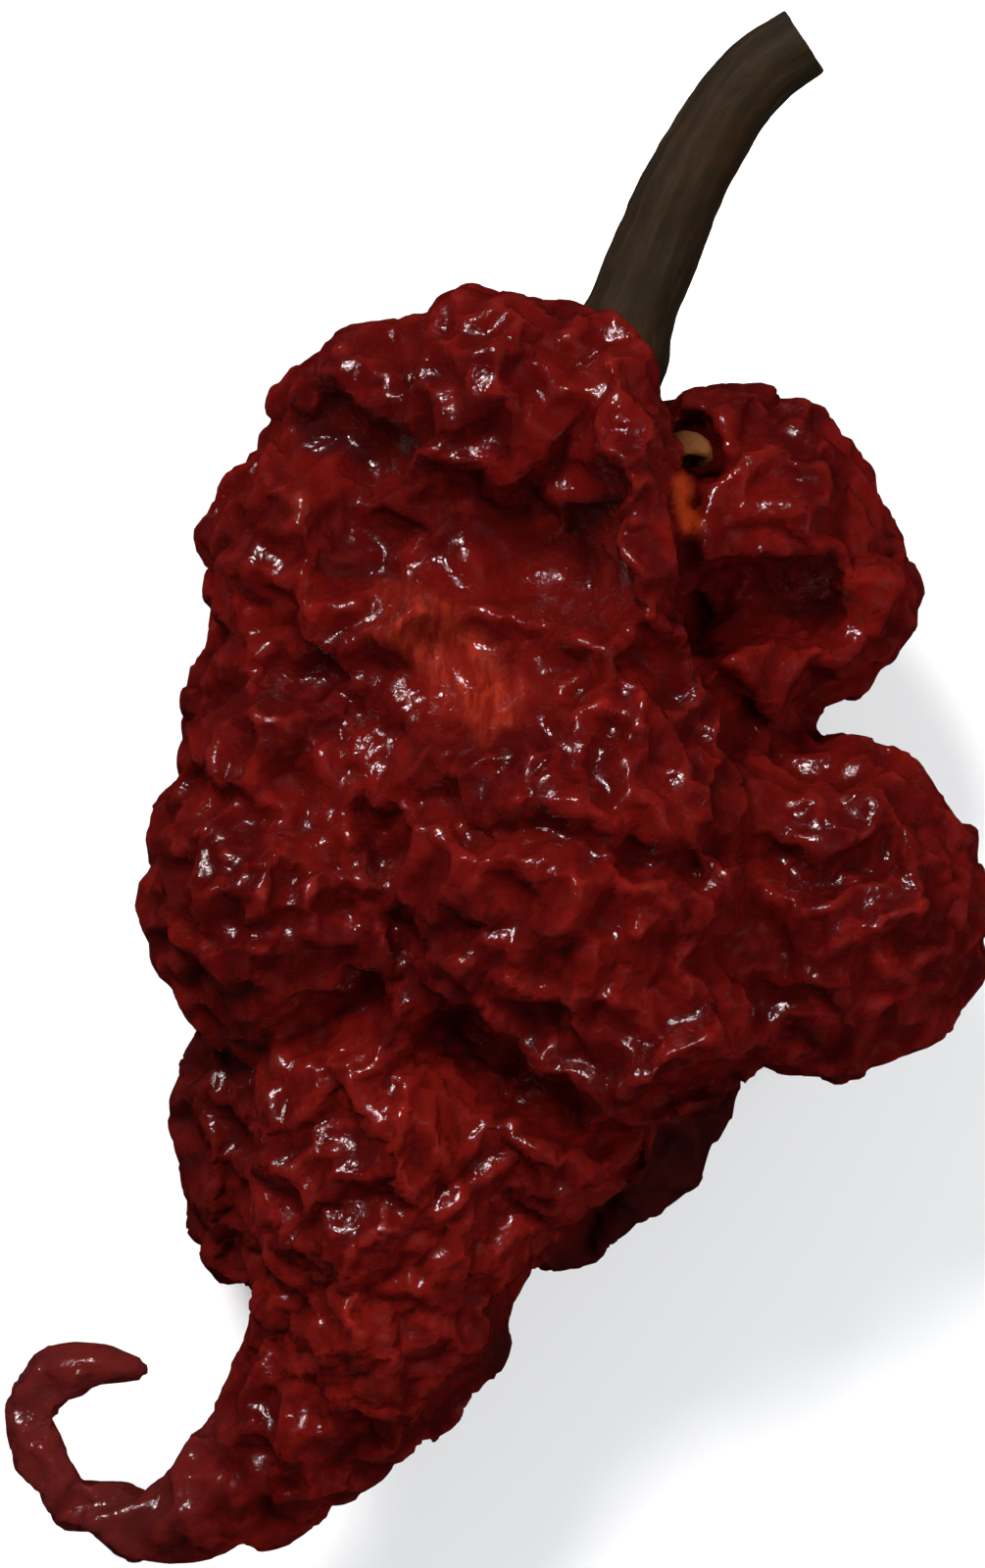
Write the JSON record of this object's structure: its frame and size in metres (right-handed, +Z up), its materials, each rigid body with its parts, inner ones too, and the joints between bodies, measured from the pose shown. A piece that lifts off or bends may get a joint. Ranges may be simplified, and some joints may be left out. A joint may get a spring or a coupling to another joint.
{
  "type": "dried chilli pepper",
  "caption": "Wrinkled dried chilli pepper lying on its side, with swollen lobes, a hooked tail, a dry calyx and a curved stem.",
  "frame": {"origin": "under the middle of the whole pepper, on the surface that it lies on", "axes": "+Y from the hooked tail to the cut end of the stem, +X across the shoulders, +Z up from the surface"},
  "size_m": [0.039, 0.0616, 0.025],
  "materials": {
    "pod_skin": "glossy, wrinkled dried skin",
    "dry_calyx": "matt, papery dried calyx",
    "dry_stem": "satin, dried woody stem"
  },
  "bodies": {
    "root": {"pod": "pod_skin", "calyx": "dry_calyx", "stem": "dry_stem"}
  },
  "joints": []
}
